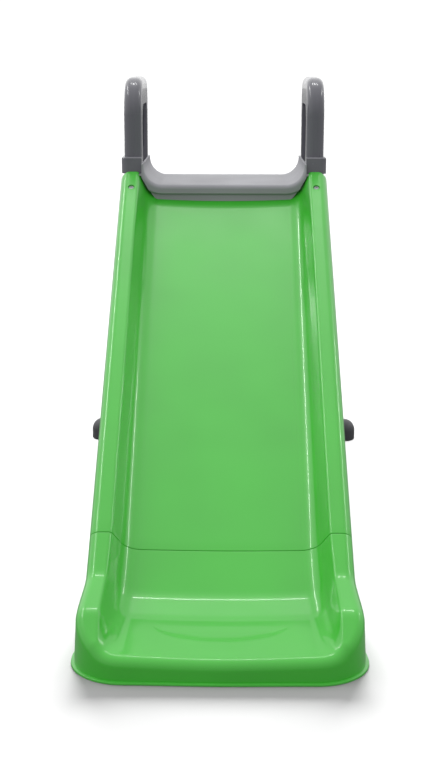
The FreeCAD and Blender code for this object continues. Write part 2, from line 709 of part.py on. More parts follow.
def handle():
    """The right handle: an inverted U, round outside and channelled inside, with a spigot in front."""
    low = LEDGE_Z + 0.2
    front, back = HANDLE_STATIONS
    outer = arch(HANDLE_STATIONS, HEIGHT, (HANDLE_FRONT_ROUND, HANDLE_BACK_ROUND), low)
    outer = across_slide(outer, HANDLE_X)
    outer = outer.makeFillet(HANDLE_EDGE_ROUND, rim_edges(outer, low))
    inner_stations = (front + HANDLE_BAND, back - HANDLE_BAND)
    inner_top = HEIGHT - HANDLE_CROWN
    inner = arch(inner_stations, inner_top, HANDLE_INNER_ROUNDS, low - 5.0)
    body = outer.cut(across_slide(inner, (140.0, 200.0)))
    width, depth = HANDLE_CHANNEL
    centre_x = sum(HANDLE_X) / 2.0
    channel_stations = (inner_stations[0] - depth, inner_stations[1] + depth)
    channel_rounds = (HANDLE_INNER_ROUNDS[0] + depth, HANDLE_INNER_ROUNDS[1] + depth)
    channel = across_slide(
        arch(channel_stations, inner_top + depth, channel_rounds, COLLAR_TOP + 8.0),
        (centre_x - width / 2.0, centre_x + width / 2.0),
    )
    body = body.cut(channel)
    around = box((140.0, 210.0), (900.0, front + HANDLE_BAND + 5.0), (low - 5.0, COLLAR_TOP + 0.1))
    spigot = box(SPIGOT_X, SPIGOT_STATIONS, (low - 5.0, COLLAR_TOP + 10.0))
    body = body.cut(around.cut(spigot))
    for station in HANDLE_SCREW_STATIONS:
        start = point(centre_x, station, low - 1.0)
        body = body.cut(rod(start, start.add(V(0, 0, 23.0)), SCREW_PILOT))
    return body


def rim_edges(outer, low):
    """The edges along both sides of an arch, without those round its feet."""
    edges = []
    for edge in outer.Edges:
        bounds = edge.BoundBox
        on_side = bounds.XLength < 0.01
        if on_side and bounds.ZMax > low + 1.0:
            edges.append(edge)
    return edges


def handle_collar():
    """The right collar: a sleeve between the ledge and the shoulder of the handle's front leg."""
    front = HANDLE_STATIONS[0] - COLLAR_PROUD
    back = HANDLE_STATIONS[0] + HANDLE_BAND + COLLAR_PROUD
    outer = box((HANDLE_X[0], HANDLE_X[1] + COLLAR_PROUD), (front, back), (LEDGE_Z + 0.2, COLLAR_TOP))
    middle_x = HANDLE_X[0] + 1.0
    uprights = [edge for edge in outer.Edges
                if edge.BoundBox.ZLength > 20.0 and edge.CenterOfMass.x > middle_x]
    outer = outer.makeFillet(HANDLE_EDGE_ROUND - 1.0, uprights)
    top = [edge for edge in outer.Edges
           if edge.BoundBox.ZMin > COLLAR_TOP - 0.1 and edge.CenterOfMass.x > middle_x]
    outer = outer.makeChamfer(2.5, top)
    hole = box((SPIGOT_X[0] - 0.1, SPIGOT_X[1] + 0.1),
               (SPIGOT_STATIONS[0] - 0.1, SPIGOT_STATIONS[1] + 0.1), (LEDGE_Z - 5.0, COLLAR_TOP + 5.0))
    return outer.cut(hole)


# ================================================================ ladder

def stringer_centre(z):
    """Where a stringer's centre line is at a height: straight down from the platform, then splayed."""
    fall = max(STRINGER_BEND_Z - z, 0.0) / (STRINGER_BEND_Z - STRINGER_BOTTOM_Z)
    x = STRINGER_TOP[0] + (STRINGER_FOOT[0] - STRINGER_TOP[0]) * fall
    station = STRINGER_TOP[1] + (STRINGER_FOOT[1] - STRINGER_TOP[1]) * fall
    return x, station


def stringer_form(inset, low, high):
    """The right stringer's form between two heights, inset from its skin."""
    size = (STRINGER_SIZE[0] - 2.0 * inset, STRINGER_SIZE[1] - 2.0 * inset)
    radius = STRINGER_ROUND - inset
    sections = [rounded_rect(stringer_centre(z), size, radius, z) for z in (low, STRINGER_BEND_Z, high)]
    return Part.makeLoft(sections, True, True)


def stringer_side():
    """The direction square to the right stringer's outer face."""
    spread = (STRINGER_FOOT[0] - STRINGER_TOP[0]) / (STRINGER_BEND_Z - STRINGER_BOTTOM_Z)
    return V(1.0, 0.0, spread).normalize()


def step_top(number):
    """The height of a step's tread."""
    return STEP_RISE * (number + 1)


def step_front(number):
    """The station of a step's front wall."""
    return stringer_centre(step_top(number) - STEP_THICK / 2.0)[1] - STEP_DEPTH / 2.0


def step_screw_lines():
    """The start, on the right stringer's outer face, of every step screw."""
    starts = []
    for number in range(len(STEP_NAMES)):
        z = step_top(number) - STEP_THICK / 2.0
        x, station = stringer_centre(z)
        for offset in STEP_SCREW_OFFSETS:
            starts.append(point(x, station + offset, z).add(stringer_side() * (STRINGER_SIZE[0] / 2.0 - 0.2)))
    return starts


def ladder_stringer():
    """The right stringer: a hollow side rail, plugged into the platform and splayed to its foot."""
    top = LEDGE_Z - WALL - 0.3
    body = stringer_form(0.0, STRINGER_BOTTOM_Z, top)
    body = body.cut(stringer_form(STRINGER_WALL, STRINGER_BOTTOM_Z - 0.5, top + 1.0))
    for z in STRINGER_BOLT_Z:
        start = point(140.0, STRINGER_TOP[1], z)
        body = body.cut(rod(start, start.add(V(60.0, 0, 0)), STRINGER_BOLT_HOLE))
    for start in step_screw_lines():
        body = body.cut(rod(start.add(stringer_side() * 5.0), start.sub(stringer_side() * 40.0), SCREW_PILOT))
    return body.cut(foot_screw_hole())


def foot_screw_hole():
    """The hole for a foot's screw, through the foot's inner side and into the stringer."""
    x, station = stringer_centre(FOOT_SCREW_Z)
    return rod(point(x - 40.0, station, FOOT_SCREW_Z), point(x - 8.0, station, FOOT_SCREW_Z), SCREW_PILOT)


def between_stringers(inset):
    """The space between the two stringers."""
    rings = []
    for z in (STRINGER_BOTTOM_Z, STRINGER_BEND_Z):
        half = stringer_centre(z)[0] - STRINGER_SIZE[0] / 2.0 - inset
        front = (point(-half, 900.0, z), point(half, 900.0, z))
        back = (point(half, 1400.0, z), point(-half, 1400.0, z))
        corners = [*front, *back]
        rings.append(Part.makePolygon(corners + corners[:1]))
    return Part.makeLoft(rings, True, True)


def ladder_step(number):
    """One step: a ribbed tread, open below, with screw bosses at its ends."""
    top = step_top(number)
    front = step_front(number)
    back = front + STEP_DEPTH
    outer = box(CLEAR_ACROSS, (front, back), (top - STEP_THICK, top))
    rounded = [edge for edge in outer.Edges if edge.BoundBox.XLength > 400.0
               and edge.CenterOfMass.z > top - 1.0]
    outer = outer.makeFillet(STEP_FRONT_ROUND, rounded)
    lower = [edge for edge in outer.Edges if edge.BoundBox.XLength > 400.0
             and edge.CenterOfMass.z < top - STEP_THICK + 1.0]
    outer = outer.makeFillet(1.2, lower)
    ceiling = top - STEP_WALL
    hollow = box(CLEAR_ACROSS, (front + STEP_WALL, back - STEP_WALL), (top - STEP_THICK - 5.0, ceiling))
    corner = [edge for edge in hollow.Edges if edge.BoundBox.XLength > 400.0
              and edge.CenterOfMass.z > ceiling - 1.0]
    hollow = hollow.makeFillet(STEP_FRONT_ROUND - STEP_WALL, corner)
    hollow = hollow.common(between_stringers(STEP_WALL + GAP / 2.0))
    for x in STEP_RIBS_X:
        rib_x = (x - STEP_WALL / 2.0, x + STEP_WALL / 2.0)
        hollow = hollow.cut(box(rib_x, (front, back), (top - STEP_THICK + 4.0, top)))
    body = outer.common(between_stringers(GAP / 2.0)).cut(hollow)
    half = stringer_centre(top)[0] - STEP_RIDGE_INSET
    for ridge in range(STEP_RIDGES):
        station = front + STEP_DEPTH * (ridge + 1.0) / (STEP_RIDGES + 1.0)
        body = body.fuse(rod(point(-half, station, top - 0.6), point(half, station, top - 0.6), 2.0))
    for start in step_screw_lines()[2 * number:2 * number + 2]:
        inner_face = start.sub(stringer_side() * (STRINGER_SIZE[0] + 1.5))
        tip = inner_face.sub(stringer_side() * STEP_BOSS[1])
        for _, side in SIDES:
            body = body.fuse(mirrored(rod(inner_face, tip, STEP_BOSS[0]), side))
        for _, side in SIDES:
            body = body.cut(mirrored(rod(start, tip.add(stringer_side() * 2.0), 2.0), side))
    if number == 0:
        front_point, back_point = brace_line()
        along = front_point.sub(back_point).normalize()
        socket = brace_socket(back_point, along).cut(brace_screw(back_point, along, SOCKET_PILOT, False))
        for _, side in SIDES:
            body = body.fuse(mirrored(socket, side))
    return body.removeSplitter()


def foot():
    """The right foot: a domed shoe with a flat sole, round the end of the stringer."""
    centre = (FOOT_SPAN / 2.0 - FOOT_SIZE[0] / 2.0, LENGTH - FOOT_SIZE[1] / 2.0)
    block = Part.Face(rounded_rect(centre, FOOT_SIZE, FOOT_CORNER, 0.0)).extrude(V(0, 0, FOOT_HEIGHT))
    top = [edge for edge in block.Edges if edge.BoundBox.ZMin > FOOT_HEIGHT - 0.1]
    block = block.makeFillet(FOOT_DOME, top)
    low = [edge for edge in block.Edges if edge.BoundBox.ZMax < 0.1]
    block = block.makeFillet(FOOT_SOLE_ROUND, low)
    block = block.cut(stringer_form(-0.1, STRINGER_BOTTOM_Z, STRINGER_BEND_Z + 10.0))
    return block.cut(foot_screw_hole())


def brace_tube():
    """The right brace tube, plugged into a socket at each end."""
    front, back = brace_line()
    along = back.sub(front).normalize()
    start = front.add(along * 1.0)
    end = back.sub(along * 1.0)
    radius = BRACE_DIAMETER / 2.0
    tube = rod(start, end, radius).cut(rod(start, end, radius - BRACE_WALL))
    tube = tube.cut(brace_screw(front, along, SOCKET_PILOT, False))
    return tube.cut(brace_screw(back, along * -1.0, SOCKET_PILOT, False))


# ================================================================ fasteners

def domed_screw(head_centre, inward, head_radius, head_height, shank_radius, shank_length):
    """A pan-head screw with a cross recess, its head resting at a point and its shank going inward."""
    outward = inward * -1.0
    head = rod(head_centre, head_centre.add(outward * head_height), head_radius)
    rim = [edge for edge in head.Edges if edge.isClosed()
           and abs(edge.CenterOfMass.sub(head_centre).Length - head_height) < 0.01]
    head = head.makeFillet(head_height * 0.45, rim)
    screw = head.fuse(rod(head_centre, head_centre.add(inward * shank_length), shank_radius))
    side = inward.cross(V(0, 1, 0.3)).normalize()
    other = inward.cross(side).normalize()
    recess_top = head_centre.add(outward * (head_height + 0.5))
    for direction in (side, other):
        half = direction * (head_radius * 0.5)
        slot_width = head_radius * 0.18
        cross = direction.cross(inward).normalize() * slot_width
        corners = [
            recess_top.add(half).add(cross),
            recess_top.sub(half).add(cross),
            recess_top.sub(half).sub(cross),
            recess_top.add(half).sub(cross),
        ]
        slot = Part.Face(Part.makePolygon(corners + corners[:1])).extrude(inward * (head_height * 0.5 + 0.5))
        screw = screw.cut(slot)
    return screw.removeSplitter()


def slope_point(x, along, rise):
    """A point in the sloping bed's own directions."""
    return FreeCAD.Placement(point(0, SEAM_STATION, SEAM_Z),
                             FreeCAD.Rotation(V(1, 0, 0), SLOPE)).multVec(V(x, along, rise))


def slope_up():
    """The direction square to the sloping bed."""
    return V(0, -math.sin(SLOPE_RAD), math.cos(SLOPE_RAD))


def rail_screws():
    """Two screws, sunk in the rail tops, that hold the chute to the platform's tongues."""
    down = slope_up() * -1.0
    return [domed_screw(slope_point(side * RAIL_CENTRE, RAIL_SCREW_U, RAIL_RISE - RAIL_POCKET_DEPTH), down,
                        4.7, 2.4, 2.4, 9.0)
            for _, side in SIDES]


def seam_screws():
    """Three screws from below that hold the upper chute's bosses to the run-out's shelf."""
    return [domed_screw(slope_point(x, SEAM_SCREW_U, -SHELF_DEPTH - WALL), slope_up(), 5.0, 3.2, 1.9, 16.0)
            for x in SEAM_SCREWS_X]


def nose_screws():
    """Two screws from below the bed into the platform's nose."""
    bed_under = bed_sag(NOSE_SCREWS_X[1]) - WALL - 0.1
    return [domed_screw(slope_point(x, NOSE_SCREW_U, bed_under), slope_up(), 5.0, 3.2, 2.0, 18.0)
            for x in NOSE_SCREWS_X]


def handle_screws():
    """Screws from below the ledge, up into both legs of each handle."""
    centre_x = sum(HANDLE_X) / 2.0
    screws = []
    for _, side in SIDES:
        for station in HANDLE_SCREW_STATIONS:
            start = point(side * centre_x, station, LEDGE_Z - WALL)
            screws.append(domed_screw(start, V(0, 0, 1), 5.0, 3.0, 2.0, 22.0))
    return screws


def stringer_bolts():
    """Bolts through the platform's side pockets and the stringers in them."""
    bolts = []
    for _, side in SIDES:
        for z in STRINGER_BOLT_Z:
            start = point(side * LEDGE_HALF, STRINGER_TOP[1], z)
            bolts.append(domed_screw(start, V(-side, 0, 0), 6.5, 3.6, 3.0, 44.0))
    return bolts


def stringer_nuts():
    """Hexagon nuts on the stringer bolts, inside the platform."""
    nuts = []
    for z in STRINGER_BOLT_Z:
        corners = []
        for number in range(7):
            turn = math.radians(60.0 * number)
            station = STRINGER_TOP[1] + NUT_RADIUS * math.cos(turn)
            corners.append(point(CHEEK_X, station, z + NUT_RADIUS * math.sin(turn)))
        nut = Part.Face(Part.makePolygon(corners)).extrude(V(-NUT_THICK, 0, 0))
        nut = nut.cut(rod(point(140.0, STRINGER_TOP[1], z), point(160.0, STRINGER_TOP[1], z), 3.05))
        for _, side in SIDES:
            nuts.append(mirrored(nut, side))
    return nuts


def step_screws():
    """Two screws at each end of each step, through the stringer."""
    screws = []
    for start in step_screw_lines():
        seat = start.add(stringer_side() * 0.2)
        screw = domed_screw(seat, stringer_side() * -1.0, 4.5, 2.6, 1.9, 40.0)
        for _, side in SIDES:
            screws.append(mirrored(screw, side))
    return screws


def brace_screws():
    """A lock screw in each brace socket."""
    front, back = brace_line()
    along = back.sub(front).normalize()
    screws = []
    for _, side in SIDES:
        screws.append(mirrored(brace_screw(front, along, 1.6, True), side))
        screws.append(mirrored(brace_screw(back, along * -1.0, 1.6, True), side))
    return screws


def foot_screws():
    """A screw from the inner side of each foot into its stringer."""
    station = stringer_centre(FOOT_SCREW_Z)[1]
    start = point(FOOT_SPAN / 2.0 - FOOT_SIZE[0], station, FOOT_SCREW_Z)
    screw = domed_screw(start, V(1, 0, 0), 4.5, 2.4, 2.0, 20.0)
    return [mirrored(screw, side) for _, side in SIDES]


# ================================================================ all nodes

def main():
    """Writes every node."""
    os.makedirs(PARTS, exist_ok=True)
    save("chute_upper", chute_upper())
    save("chute_lower", chute_lower())
    save("platform", platform())
    for number, name in enumerate(STEP_NAMES):
        save("step_" + name, ladder_step(number))
    paired = {
        "handle": handle(),
        "handle_collar": handle_collar(),
        "ladder_stringer": ladder_stringer(),
        "foot": foot(),
        "brace_tube": brace_tube(),
    }
    for name, shape in paired.items():
        for side_name, side in SIDES:
            save(side_name + "_" + name, mirrored(shape, side))
    fasteners = (rail_screws, seam_screws, nose_screws, handle_screws, stringer_bolts, stringer_nuts,
                 step_screws, brace_screws, foot_screws)
    for make in fasteners:
        save(make.__name__, Part.makeCompound(make()))


if __name__ == "__main__":
    main()
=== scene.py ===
"""Looks of the toddler slide: materials, fine meshes of the moulded chutes, lights and camera."""

import json
import math

import bmesh
import bpy
import numpy as np
from mathutils import Matrix, Vector
from mathutils.geometry import delaunay_2d_cdt


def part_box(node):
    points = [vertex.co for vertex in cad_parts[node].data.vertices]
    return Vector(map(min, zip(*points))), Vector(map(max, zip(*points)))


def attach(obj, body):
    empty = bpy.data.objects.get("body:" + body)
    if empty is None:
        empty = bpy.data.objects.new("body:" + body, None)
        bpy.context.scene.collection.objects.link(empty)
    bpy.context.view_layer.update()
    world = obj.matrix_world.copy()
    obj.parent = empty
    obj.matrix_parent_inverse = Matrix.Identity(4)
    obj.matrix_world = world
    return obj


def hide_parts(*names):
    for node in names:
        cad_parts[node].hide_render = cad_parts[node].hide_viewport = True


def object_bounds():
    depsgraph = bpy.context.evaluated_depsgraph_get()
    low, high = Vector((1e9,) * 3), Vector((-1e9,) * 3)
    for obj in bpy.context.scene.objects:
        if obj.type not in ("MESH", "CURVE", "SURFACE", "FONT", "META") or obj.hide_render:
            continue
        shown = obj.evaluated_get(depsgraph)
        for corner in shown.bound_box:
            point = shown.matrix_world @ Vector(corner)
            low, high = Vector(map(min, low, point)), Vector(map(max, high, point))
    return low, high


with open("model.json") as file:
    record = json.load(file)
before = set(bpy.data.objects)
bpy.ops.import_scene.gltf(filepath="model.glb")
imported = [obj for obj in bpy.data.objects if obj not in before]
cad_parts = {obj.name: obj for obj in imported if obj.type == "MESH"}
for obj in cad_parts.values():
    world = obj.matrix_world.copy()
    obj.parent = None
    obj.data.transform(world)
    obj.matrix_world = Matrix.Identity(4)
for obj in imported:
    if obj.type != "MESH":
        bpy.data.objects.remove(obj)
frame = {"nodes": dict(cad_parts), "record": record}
cad_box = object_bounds()
nodes = frame["nodes"]
scene = bpy.context.scene

# ---------------------------------------------------------------- materials


def linear(red, green, blue):
    """An sRGB colour, 0 to 255, as linear RGBA."""
    def one(value):
        value /= 255
        return value / 12.92 if value <= 0.04045 else ((value + 0.055) / 1.055) ** 2.4
    return (one(red), one(green), one(blue), 1)


class Tree:
    """Short calls for building a node tree."""

    def __init__(self, name):
        self.material = bpy.data.materials.new(name)
        self.material.use_nodes = True
        self.nodes = self.material.node_tree.nodes
        self.links = self.material.node_tree.links
        self.shader = self.nodes["Principled BSDF"]
        self.place = self.add("ShaderNodeTexCoord").outputs["Object"]

    def add(self, kind, inputs=None, **settings):
        node = self.nodes.new(kind)
        for key, value in settings.items():
            setattr(node, key, value)
        for key, value in (inputs or {}).items():
            if isinstance(value, bpy.types.NodeSocket):
                self.links.new(value, node.inputs[key])
            else:
                node.inputs[key].default_value = value
        return node

    def noise(self, scale, detail, rough=0.5):
        inputs = {"Vector": self.place, "Scale": scale, "Detail": detail, "Roughness": rough}
        return self.add("ShaderNodeTexNoise", inputs).outputs["Fac"]

    def remap(self, value, low, high, from_low=0.3, from_high=0.7):
        inputs = {"Value": value, "From Min": from_low, "From Max": from_high, "To Min": low, "To Max": high}
        return self.add("ShaderNodeMapRange", inputs).outputs["Result"]

    def mix(self, share, first, second, kind="MIX"):
        node = self.add("ShaderNodeMix", data_type="RGBA", blend_type=kind)
        for socket, value in ((node.inputs[0], share), (node.inputs[6], first), (node.inputs[7], second)):
            if isinstance(value, bpy.types.NodeSocket):
                self.links.new(value, socket)
            else:
                socket.default_value = value
        return node.outputs[2]

    def bump(self, height, strength, distance, normal=None):
        inputs = {"Height": height, "Strength": strength, "Distance": distance}
        if normal:
            inputs["Normal"] = normal
        return self.add("ShaderNodeBump", inputs).outputs["Normal"]

    def set(self, **values):
        for key, value in values.items():
            socket = self.shader.inputs[key.replace("_", " ")]
            if isinstance(value, bpy.types.NodeSocket):
                self.links.new(value, socket)
            else:
                socket.default_value = value


def moulded_plastic(name, colour, rough, grain=0.0, coat=0.0, vary=0.04, shine=0.5):
    """Moulded plastic: a faint drift of shade, slightly uneven gloss, a fine skin and paler rubbed edges."""
    tree = Tree(name)
    base = linear(*colour)
    drift = tree.remap(tree.noise(9, 1), 1 - vary, 1 + vary)
    shade = tree.add("ShaderNodeCombineColor", {"Red": drift, "Green": drift, "Blue": drift}).outputs[0]
    tinted = tree.mix(1.0, base, shade, "MULTIPLY")
    worn = tree.remap(tree.add("ShaderNodeNewGeometry").outputs["Pointiness"], 0, 0.12, 0.52, 0.60)
    pale = tuple(0.75 * part + 0.25 for part in base[:3]) + (1,)
    tree.set(Base_Color=tree.mix(worn, tinted, pale))
    smear = tree.noise(14, 4, 0.6)
    tree.set(Roughness=tree.remap(smear, rough - 0.035, rough + 0.035))
    skin = tree.bump(tree.noise(90, 1), 0.05, 0.0004)
    if grain:
        skin = tree.bump(tree.noise(1400, 2), grain, 0.00035, skin)
    tree.set(Normal=skin, IOR=1.49, Coat_Weight=coat, Coat_Roughness=0.06, Specular_IOR_Level=shine)
    return tree.material


def brushed_steel(name):
    tree = Tree(name)
    tree.set(Base_Color=linear(150, 152, 155), Metallic=1.0)
    tree.set(Roughness=tree.remap(tree.noise(500, 3), 0.28, 0.5))
    tree.set(Normal=tree.bump(tree.noise(900, 3), 0.15, 0.0002))
    return tree.material


def painted_metal(name, colour):
    tree = Tree(name)
    base = linear(*colour)
    drift = tree.remap(tree.noise(30, 3), 0.93, 1.06)
    shade = tree.add("ShaderNodeCombineColor", {"Red": drift, "Green": drift, "Blue": drift}).outputs[0]
    tree.set(Base_Color=tree.mix(1.0, base, shade, "MULTIPLY"))
    tree.set(Roughness=tree.remap(tree.noise(60, 3), 0.3, 0.42))
    tree.set(Normal=tree.bump(tree.noise(700, 2), 0.25, 0.0003), Coat_Weight=0.3, Coat_Roughness=0.15)
    return tree.material


GREEN = moulded_plastic("green_gloss", (52, 171, 38), 0.32, coat=0.45)
PALE = moulded_plastic("pale_matt", (144, 144, 149), 0.5, grain=0.35, shine=0.25)
DARK = moulded_plastic("dark_gloss", (90, 90, 98), 0.24, coat=0.35)
FOOT = moulded_plastic("foot_matt", (62, 63, 67), 0.5, grain=0.3)
TUBE = painted_metal("tube_paint", (96, 100, 104))
STEEL = brushed_steel("fastener_steel")

FINISH = {
    "green_plastic": GREEN,
    "light_grey_plastic": PALE,
    "dark_grey_plastic": DARK,
    "foot_plastic": FOOT,
    "grey_painted_tube": TUBE,
    "zinc_steel": STEEL,
}
slot_of = {part["node"]: part["material_slot"] for part in frame["record"]["subparts"]}
for name, part in nodes.items():
    for place in part.material_slots:
        place.material = FINISH[slot_of[name]]

# ---------------------------------------------------------------- meshes


def new_piece(name, shape, material, node, sharp=25):
    """A visible piece from a bmesh, smooth but for its sharp edges, that stands for a CAD node."""
    bmesh.ops.recalc_face_normals(shape, faces=shape.faces)
    mesh = bpy.data.meshes.new(name)
    shape.to_mesh(mesh)
    shape.free()
    mesh.materials.append(material)
    mesh.shade_smooth()
    mesh.set_sharp_from_angle(angle=math.radians(sharp))
    piece = bpy.data.objects.new(name, mesh)
    scene.collection.objects.link(piece)
    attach(piece, "root")
    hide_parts(node)
    return piece


def quads_between(shape, first, second, closed):
    """Faces between two rows of vertices of the same length."""
    count = len(first)
    for n in range(count if closed else count - 1):
        m = (n + 1) % count
        shape.faces.new((first[n], first[m], second[m], second[n]))


def bored(body, tool, operation):
    """The mesh of one temporary object after a boolean with another."""
    step = body.modifiers.new("cut", "BOOLEAN")
    step.operation = operation
    step.solver = "EXACT"
    step.object = tool
    graph = bpy.context.evaluated_depsgraph_get()
    mesh = bpy.data.meshes.new_from_object(body.evaluated_get(graph))
    body.modifiers.clear()
    old = body.data
    body.data = mesh
    bpy.data.meshes.remove(old)
    bpy.data.objects.remove(tool)


def temporary(shape):
    """An object that is only used to work on."""
    bmesh.ops.recalc_face_normals(shape, faces=shape.faces)
    mesh = bpy.data.meshes.new("temporary")
    shape.to_mesh(mesh)
    shape.free()
    piece = bpy.data.objects.new("temporary", mesh)
    scene.collection.objects.link(piece)
    return piece


def turned(shape, centre, profile, sides=40):
    """A closed turned form about an upright axis; the profile is radius and height from axis to axis."""
    rings = []
    for radius, height in profile:
        if radius == 0:
            rings.append([shape.verts.new(centre + Vector((0, 0, height)))])
            continue
        ring = []
        for n in range(sides):
            turn = math.tau * n / sides
            spot = Vector((radius * math.cos(turn), radius * math.sin(turn), height))
            ring.append(shape.verts.new(centre + spot))
        rings.append(ring)
    for first, second in zip(rings, rings[1:]):
        if len(first) == 1:
            for n in range(sides):
                shape.faces.new((first[0], second[n], second[(n + 1) % sides]))
        elif len(second) == 1:
            for n in range(sides):
                shape.faces.new((second[0], first[(n + 1) % sides], first[n]))
        else:
            quads_between(shape, first, second, True)


# The upper chute is one moulded section, drawn in metres in the sloping bed's own directions:
# across, along and rise.
SLOPE = math.radians(33.8)
WALL = 0.0035
BED_HALF = 0.1192
BED_SAG = 0.0024
RAIL_RISE = 0.046
RAIL_INNER = 0.165
RAIL_ROUND = 0.016
SKIRT_DROP = 0.014
END_ROUND = 0.0013
RAIL_CORNER = 0.007
RIB_COUNT = 8
RIB_FIRST = 0.090
RIB_PITCH = 0.6298 / 7
RIB_THICK = 0.003
RIB_FOOT = -0.010
RAIL_SCREW_X = 0.172
RAIL_SCREW_FROM_TOP = 0.045
RAIL_BOSS = ((0, 0.0385), (0.008, 0.0385), (0.008, 0.0437), (0, 0.0437))
RAIL_POCKET_FLOOR = RAIL_RISE - 0.004
RAIL_POCKET = (
    (0, 0.030),
    (0.0025, 0.030),
    (0.0025, RAIL_POCKET_FLOOR),
    (0.0052, RAIL_POCKET_FLOOR),
    (0.0056, RAIL_POCKET_FLOOR + 0.0004),
    (0.0056, RAIL_RISE - 0.0008),
    (0.0060, RAIL_RISE - 0.0002),
    (0.0066, RAIL_RISE + 0.0002),
    (0.0066, RAIL_RISE + 0.002),
    (0, RAIL_RISE + 0.002),
)
SEAM_SCREWS_X = (-0.085, 0, 0.085)
SEAM_SCREW_ALONG = 0.026
SEAM_BOSS = (
    (0.002, -0.0162),
    (0.0065, -0.0162),
    (0.007, -0.0157),
    (0.007, -0.0018),
    (0.002, -0.0018),
    (0.002, -0.0162),
)
chute_low, chute_high = (Vector(corner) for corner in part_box("chute_upper"))
CHUTE_HALF = chute_high.x
seam_y = chute_low.y + RAIL_RISE * math.sin(SLOPE)
seam_z = chute_low.z + SKIRT_DROP * math.cos(SLOPE)
CHUTE_RUN = (chute_high.y - seam_y - SKIRT_DROP * math.sin(SLOPE)) / math.cos(SLOPE)
on_slope = Matrix.Translation((0, seam_y, seam_z)) @ Matrix.Rotation(SLOPE, 4, "X")


def smooth(part):
    """An S curve from 0 to 1."""
    return part * part * (3 - 2 * part)


def ease(part):
    """A curve of slope 1 at 0 that is back at 0, and level, at 1."""
    return part * (1 - part) ** 2


# The wall's shape in millimetres; both chute halves scale it to their own width and rise.
FOOT_ROUND = 33.0
CROWN_ROUND = 7.0
WALL_TILT = math.radians(65)
WALL_WIDTH = 45.8
WALL_RISE = 43.6


def wall_share(part):
    """The wall's height and slope, as shares, over its wide round foot, steep face and round crown."""
    foot_end = FOOT_ROUND * math.sin(WALL_TILT)
    across = WALL_WIDTH * min(max(part, 0.0), 1.0)
    left = WALL_WIDTH - across
    if across < foot_end:
        level = math.sqrt(FOOT_ROUND ** 2 - across ** 2)
        height = FOOT_ROUND - level
        slope = across / level
    elif left < CROWN_ROUND * math.sin(WALL_TILT):
        level = math.sqrt(CROWN_ROUND ** 2 - left ** 2)
        height = WALL_RISE - CROWN_ROUND + level
        slope = left / level
    else:
        slope = math.tan(WALL_TILT)
        height = FOOT_ROUND * (1 - math.cos(WALL_TILT)) + (across - foot_end) * slope
    return min(height / WALL_RISE, 1.0), slope * WALL_WIDTH / WALL_RISE


BED_POINTS = 30
WALL_POINTS = 60
CROWN_POINTS = 6
ROUND_POINTS = 16
SKIRT_POINTS = 6


def half_skin():
    """The right half of the chute's outer skin, from the middle to the skirt's foot: places and normals."""
    skin = []

    def put(x, rise, across, up):
        skin.append((Vector((x, rise)), Vector((across, up)).normalized()))

    for n in range(BED_POINTS):
        x = BED_HALF * n / BED_POINTS
        put(x, BED_SAG * (x / BED_HALF) ** 2, -2 * BED_SAG * x / BED_HALF ** 2, 1)
    width = RAIL_INNER - BED_HALF
    rise = RAIL_RISE - BED_SAG
    start_slope = 2 * BED_SAG / BED_HALF
    for n in range(WALL_POINTS):
        part = n / WALL_POINTS
        share, slope = wall_share(part)
        slope = slope * rise / width + start_slope * (1 - part) * (1 - 3 * part)
        put(BED_HALF + width * part, BED_SAG + rise * share + start_slope * width * ease(part), -slope, 1)
    crown_end = CHUTE_HALF - RAIL_ROUND
    for n in range(CROWN_POINTS):
        put(RAIL_INNER + (crown_end - RAIL_INNER) * n / CROWN_POINTS, RAIL_RISE, 0, 1)
    for n in range(ROUND_POINTS + 1):
        turn = math.pi / 2 * n / ROUND_POINTS
        side, up = math.sin(turn), math.cos(turn)
        put(crown_end + RAIL_ROUND * side, RAIL_RISE - RAIL_ROUND * (1 - up), side, up)
    foot = SKIRT_DROP + RAIL_RISE - RAIL_ROUND
    for n in range(1, SKIRT_POINTS + 1):
        put(CHUTE_HALF, RAIL_RISE - RAIL_ROUND - foot * n / SKIRT_POINTS, 1, 0)
    return skin


HALF_SKIN = half_skin()
MIRROR = Vector((-1, 1))
FULL_SKIN = [(place * MIRROR, normal * MIRROR) for place, normal in HALF_SKIN[:0:-1]] + HALF_SKIN


def skin_row(shape, along, drop, tuck):
    """Vertices along the section, a drop inside the skin, with the rails' outer faces tucked in."""
    row = []
    for place, normal in FULL_SKIN:
        spot = place - normal * drop
        x = spot.x - tuck * normal.x if abs(place.x) > RAIL_INNER else spot.x
        row.append(shape.verts.new((x, along, max(spot.y, -SKIRT_DROP))))
    return row


